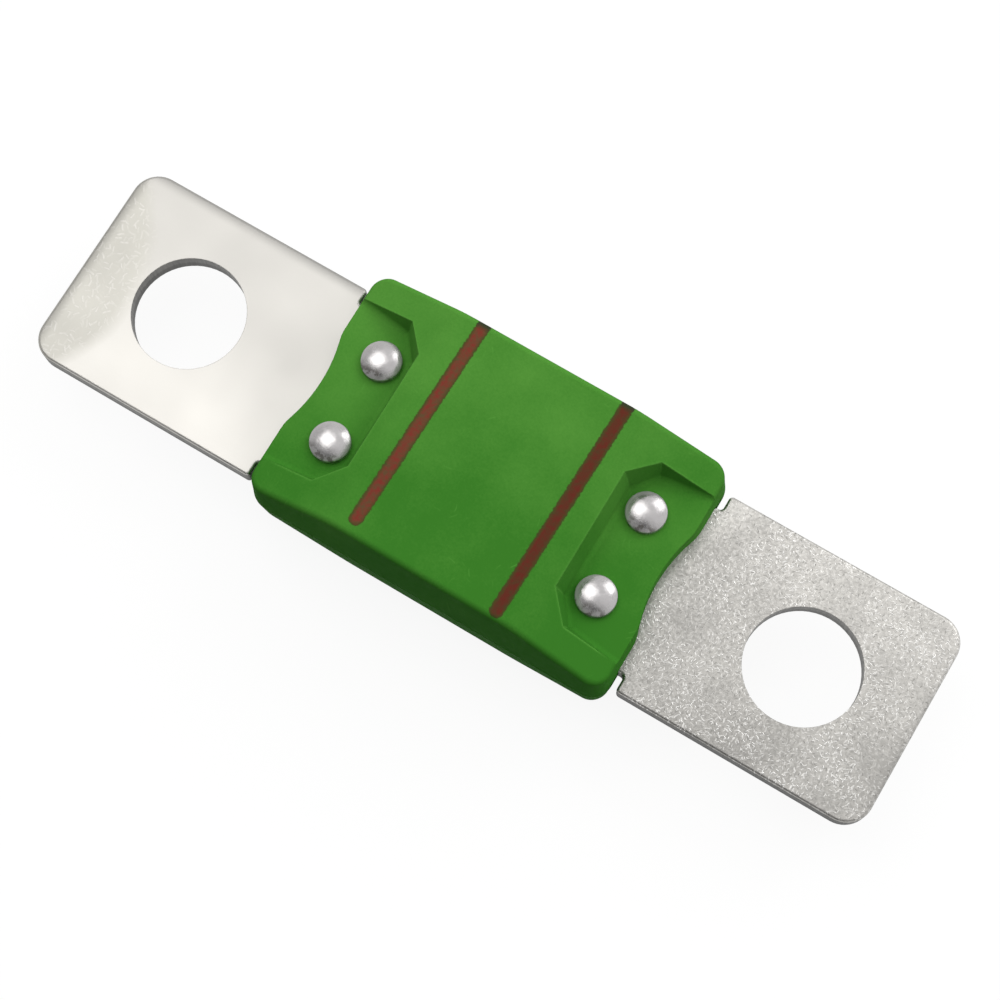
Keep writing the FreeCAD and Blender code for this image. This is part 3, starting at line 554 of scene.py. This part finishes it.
def rivet_tree():
    """A tree that turns a ball into one rivet, and sets a rivet at each corner of a rectangle."""
    tree = bpy.data.node_groups.new("set_rivets", "GeometryNodeTree")
    nodes = Nodes(tree)
    tree.interface.new_socket("Geometry", in_out="INPUT", socket_type="NodeSocketGeometry")
    sizes = (
        "Head radius", "Head height", "Head edge", "Brow", "Tail height",
        "Shank radius", "Seat height", "Along", "Across",
    )
    for name in sizes:
        tree.interface.new_socket(name, in_out="INPUT", socket_type="NodeSocketFloat")
    tree.interface.new_socket("Segments", in_out="INPUT", socket_type="NodeSocketInt")
    tree.interface.new_socket("Metal", in_out="INPUT", socket_type="NodeSocketMaterial")
    tree.interface.new_socket("Geometry", in_out="OUTPUT", socket_type="NodeSocketGeometry")
    given = nodes.add("NodeGroupInput").outputs

    # The ball's rings from the top: the head's dome, its brow, the foot of its edge, three round the shank,
    # and the tail.
    head_rings = DOME_RINGS + BROW_RINGS
    shank_ring = head_rings + 3
    rings = shank_ring + 2 + DOME_RINGS
    ball_sizes = {"Segments": given["Segments"], "Rings": rings, "Radius": 1.0}
    ball = nodes.add("GeometryNodeMeshUVSphere", ball_sizes)
    x, y, z = nodes.apart(nodes.add("GeometryNodeInputPosition"))
    ring = nodes.math("ROUND", nodes.math("MULTIPLY", nodes.math("ARCCOSINE", z), rings / math.pi))
    around = nodes.math("ARCTAN2", y, x)

    def dome(rise, foot, brow, steps):
        """Radius and height on a dome whose edge turns down over a brow, this many rings from its pole."""
        edge = given["Head radius"]
        square = nodes.math("ADD", nodes.math("MULTIPLY", edge, edge), nodes.math("MULTIPLY", rise, rise))
        radius = nodes.math("DIVIDE", square, nodes.math("MULTIPLY", rise, 2.0))
        run = nodes.math("SUBTRACT", edge, brow)
        widest = nodes.math("ARCSINE", nodes.math("DIVIDE", run, nodes.math("SUBTRACT", radius, brow)))
        down_dome = nodes.math("MINIMUM", nodes.math("DIVIDE", steps, DOME_RINGS), 1.0)
        angle = nodes.math("MULTIPLY", widest, down_dome)
        down_brow = nodes.math("DIVIDE", nodes.math("SUBTRACT", steps, DOME_RINGS), BROW_RINGS)
        down_brow = nodes.math("MAXIMUM", down_brow, 0.0)
        left_over = nodes.math("SUBTRACT", math.pi / 2, widest)
        turned = nodes.math("MULTIPLY_ADD", left_over, down_brow, widest)
        parts = []
        for wave in ("SINE", "COSINE"):
            on_dome = nodes.math("MULTIPLY", radius, nodes.math(wave, angle))
            on_brow = nodes.math("SUBTRACT", nodes.math(wave, turned), nodes.math(wave, widest))
            parts.append(nodes.math("MULTIPLY_ADD", on_brow, brow, on_dome))
        centre = nodes.math("SUBTRACT", nodes.math("ADD", foot, rise), radius)
        return parts[0], nodes.math("ADD", parts[1], centre)

    def choose(test, yes, no):
        inputs = {"Switch": test, "False": no, "True": yes}
        return nodes.add("GeometryNodeSwitch", inputs, input_type="FLOAT").outputs[0]

    seat = given["Seat height"]
    rise = nodes.math("SUBTRACT", given["Head height"], given["Head edge"])
    head_out, head_up = dome(rise, nodes.math("ADD", seat, given["Head edge"]), given["Brow"], ring)
    tail_out, tail_up = dome(given["Tail height"], seat, 0.0, nodes.math("SUBTRACT", float(rings), ring))
    of_head = nodes.math("LESS_THAN", ring, head_rings + 0.5)
    of_edge = nodes.math("LESS_THAN", ring, head_rings + 1.5)
    of_tail = nodes.math("GREATER_THAN", ring, shank_ring + 1.5)
    shank_up = nodes.math("MULTIPLY", nodes.math("SUBTRACT", float(shank_ring), ring), seat)
    lower_out = choose(of_tail, tail_out, given["Shank radius"])
    lower_up = choose(of_tail, nodes.math("MULTIPLY", tail_up, -1.0), shank_up)
    out = choose(of_head, head_out, choose(of_edge, given["Head radius"], lower_out))
    up = choose(of_head, head_up, choose(of_edge, seat, lower_up))
    turned = nodes.add("ShaderNodeCombineXYZ", {
        "X": nodes.math("MULTIPLY", out, nodes.math("COSINE", around)),
        "Y": nodes.math("MULTIPLY", out, nodes.math("SINE", around)),
        "Z": up,
    })
    rivet = nodes.add("GeometryNodeSetPosition", {"Geometry": ball.outputs["Mesh"], "Position": turned})
    rivet = nodes.add("GeometryNodeSetShadeSmooth", {"Geometry": rivet, "Shade Smooth": True})
    bend = nodes.add("GeometryNodeInputMeshEdgeAngle").outputs["Unsigned Angle"]
    sharp = nodes.math("GREATER_THAN", bend, SHARP_BEND)
    edges = {"Geometry": rivet, "Selection": sharp, "Shade Smooth": False}
    rivet = nodes.add("GeometryNodeSetShadeSmooth", edges, domain="EDGE")

    corners = nodes.add("GeometryNodeMeshGrid", {
        "Size X": given["Along"], "Size Y": given["Across"], "Vertices X": 2, "Vertices Y": 2,
    })
    pattern = {"Points": corners.outputs["Mesh"], "Instance": rivet}
    set_rivets = nodes.add("GeometryNodeInstanceOnPoints", pattern)
    solid = nodes.add("GeometryNodeRealizeInstances", {"Geometry": set_rivets})
    finished = nodes.add("GeometryNodeSetMaterial", {"Geometry": solid, "Material": given["Metal"]})
    nodes.add("NodeGroupOutput", {"Geometry": finished})
    return tree


def plain_mesh_from(tree, name, values):
    """Run a tree on an empty mesh and return what it makes as a plain object."""
    holder = bpy.data.objects.new(name + "_maker", bpy.data.meshes.new(name + "_maker"))
    bpy.context.scene.collection.objects.link(holder)
    modifier = holder.modifiers.new("maker", "NODES")
    modifier.node_group = tree
    for item in tree.interface.items_tree:
        if item.item_type == "SOCKET" and item.in_out == "INPUT" and item.name in values:
            modifier[item.identifier] = values[item.name]
    holder.update_tag()
    bpy.context.view_layer.update()
    graph = bpy.context.evaluated_depsgraph_get()
    mesh = bpy.data.meshes.new_from_object(
        holder.evaluated_get(graph), preserve_all_data_layers=True, depsgraph=graph
    )
    holder.modifiers.clear()
    bpy.data.objects.remove(holder)
    if not mesh.polygons:
        raise RuntimeError(f"{name}: the tree made no faces")
    mesh.name = name
    piece = bpy.data.objects.new(name, mesh)
    bpy.context.scene.collection.objects.link(piece)
    return piece


class FUSE_OT_finish_shells(bpy.types.Operator):
    """Give both half shells their moulded green skin, and print the bars on the upper one"""
    bl_idname = "fuse.finish_shells"
    bl_label = "Finish the shells"

    def execute(self, context):
        looks = context.scene.fuse_shells
        put_on_node("upper_shell", moulded_plastic(looks, "printed_green_plastic", printed=True))
        put_on_node("lower_shell", moulded_plastic(looks, "green_plastic", printed=False))
        return {"FINISHED"}


class FUSE_OT_finish_strip(bpy.types.Operator):
    """Plate the strip with tin and shade its sheared edges"""
    bl_idname = "fuse.finish_strip"
    bl_label = "Finish the strip"

    def execute(self, context):
        put_on_node("fuse_link", tinned_sheet(context.scene.fuse_strip))
        return {"FINISHED"}


class FUSE_OT_set_rivets(bpy.types.Operator):
    """Turn the four rivets and set them through the shells"""
    bl_idname = "fuse.set_rivets"
    bl_label = "Set the rivets"

    def execute(self, context):
        sizes = context.scene.fuse_rivets
        seat = rivet_box[1].z - sizes.head_height
        values = {
            "Head radius": sizes.head_radius, "Head height": sizes.head_height, "Head edge": sizes.head_edge,
            "Brow": sizes.brow, "Tail height": sizes.tail_height, "Shank radius": sizes.shank_radius,
            "Seat height": seat, "Along": sizes.along, "Across": sizes.across,
            "Segments": sizes.segments, "Metal": bright_aluminium(sizes),
        }
        piece = plain_mesh_from(rivet_tree(), "domed_rivets", values)
        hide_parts("rivets")
        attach(piece, "root")
        return {"FINISHED"}


def seen_directly(nodes):
    """1 for what the camera sees, directly, in a mirror or through glass, and else 0."""
    path = nodes.add("ShaderNodeLightPath").outputs
    mirrored = nodes.math("MAXIMUM", path["Is Camera Ray"], path["Is Glossy Ray"])
    return nodes.math("MAXIMUM", mirrored, path["Is Transmission Ray"])


def lay_floor(sizes):
    """A floor that is seen white, and that keeps the fuse's shadow."""
    half = sizes.floor_size / 2
    corners = [(x, y, floor_height) for x, y in ((-half, -half), (half, -half), (half, half), (-half, half))]
    mesh = bpy.data.meshes.new("floor")
    mesh.from_pydata(corners, [], [(0, 1, 2, 3)])
    floor = bpy.data.objects.new("floor", mesh)
    bpy.context.scene.collection.objects.link(floor)
    material = bpy.data.materials.new("pale_floor")
    nodes = emptied(material)
    cloth = nodes.add("ShaderNodeBsdfDiffuse", {"Color": (sizes.floor_shade,) * 3})
    strength = nodes.math("MULTIPLY", seen_directly(nodes), sizes.floor_glow)
    glow = nodes.add("ShaderNodeEmission", {"Color": WHITE, "Strength": strength})
    both = nodes.add("ShaderNodeAddShader")
    nodes.feed_all(both, (cloth, glow))
    nodes.add("ShaderNodeOutputMaterial", {"Surface": both})
    floor.data.materials.append(material)


def light_sky(sizes):
    """A sky that darkens towards the near side and the left, with a dark spot that the rivets mirror."""
    world = bpy.data.worlds.new("studio")
    bpy.context.scene.world = world
    nodes = emptied(world)
    direction = nodes.add("ShaderNodeTexCoord").outputs["Generated"]
    x, y, z = nodes.apart(direction)
    glow = nodes.ramp(y, -0.75, 0.15, sizes.sky_near * sizes.sky_bright, sizes.sky_bright, smooth=True)
    glow = nodes.math("MULTIPLY", glow, nodes.ramp(x, -0.9, -0.2, sizes.sky_left, 1.0, smooth=True))
    to_spot = tuple(Vector(sizes.sky_spot).normalized())
    beside_spot = nodes.vector("DOT_PRODUCT", direction, to_spot)["Value"]
    glow = nodes.math("MULTIPLY", glow, nodes.ramp(beside_spot, 0.984, 0.996, 1.0, 0.05, smooth=True))

    # Low over the floor the sky is seen white, as the floor is.
    low = nodes.math("MULTIPLY", seen_directly(nodes), nodes.ramp(z, 0.22, 0.34, 1.0, 0.0))
    strength = nodes.add("ShaderNodeMix", {"Factor": low, "A": glow, "B": 1.0})
    sky = nodes.add("ShaderNodeBackground", {"Color": WHITE, "Strength": strength})
    nodes.add("ShaderNodeOutputWorld", {"Surface": sky})


def hang_lamp(name, place, side, strength, tint=WHITE):
    """A square soft lamp whose face glows at the given strength, turned towards the fuse."""
    data = bpy.data.lights.new(name, "AREA")
    data.shape = "SQUARE"
    data.size = side
    # A square lamp's power is its glow times pi times its area.
    data.energy = strength * math.pi * side * side
    data.color = tint
    lamp = bpy.data.objects.new(name, data)
    bpy.context.scene.collection.objects.link(lamp)
    lamp.location = place
    lamp.rotation_euler = (-Vector(place)).to_track_quat("-Z", "Y").to_euler()


def stand_camera(sizes):
    """The camera at the photograph's angle."""
    data = bpy.data.cameras.new("camera")
    data.lens = sizes.lens
    data.sensor_width = 36.0
    data.clip_start = 0.005
    data.clip_end = 10.0
    camera = bpy.data.objects.new("camera", data)
    bpy.context.scene.collection.objects.link(camera)
    camera.location = sizes.place
    camera.rotation_euler = sizes.turn
    bpy.context.scene.camera = camera


class FUSE_OT_build_stage(bpy.types.Operator):
    """Lay the floor, light the sky, hang the lamps and stand the camera at the photograph's angle"""
    bl_idname = "fuse.build_stage"
    bl_label = "Build the stage"

    def execute(self, context):
        sizes = context.scene.fuse_stage
        lay_floor(sizes)
        light_sky(sizes)
        hang_lamp("key_lamp", KEY_PLACE, KEY_SIDE, sizes.key_strength, KEY_TINT)
        hang_lamp("far_lamp", FAR_PLACE, FAR_SIDE, sizes.far_strength)
        stand_camera(sizes)
        context.scene.view_settings.view_transform = "Standard"
        return {"FINISHED"}


STEPS = [
    (FUSE_OT_finish_shells, "fuse_shells", ShellLooks),
    (FUSE_OT_finish_strip, "fuse_strip", StripLooks),
    (FUSE_OT_set_rivets, "fuse_rivets", RivetSizes),
    (FUSE_OT_build_stage, "fuse_stage", StageSizes),
]


class FUSE_PT_panel(bpy.types.Panel):
    """Lists the fuse's pieces with their sizes and colours"""
    bl_idname = "FUSE_PT_panel"
    bl_label = "Strip fuse"
    bl_space_type = "VIEW_3D"
    bl_region_type = "UI"
    bl_category = "Strip fuse"

    def draw(self, context):
        for operator, key, group in STEPS:
            box = self.layout.box()
            box.operator(operator.bl_idname)
            for name in group.__annotations__:
                box.prop(getattr(context.scene, key), name)


def register():
    for operator, key, group in STEPS:
        bpy.utils.register_class(group)
        setattr(bpy.types.Scene, key, bpy.props.PointerProperty(type=group))
        bpy.utils.register_class(operator)
    bpy.utils.register_class(FUSE_PT_panel)


def unregister():
    bpy.utils.unregister_class(FUSE_PT_panel)
    for operator, key, group in reversed(STEPS):
        bpy.utils.unregister_class(operator)
        delattr(bpy.types.Scene, key)
        bpy.utils.unregister_class(group)


def main():
    register()
    bpy.ops.fuse.finish_shells()
    bpy.ops.fuse.finish_strip()
    bpy.ops.fuse.set_rivets()
    bpy.ops.fuse.build_stage()


if __name__ == "__main__":
    main()
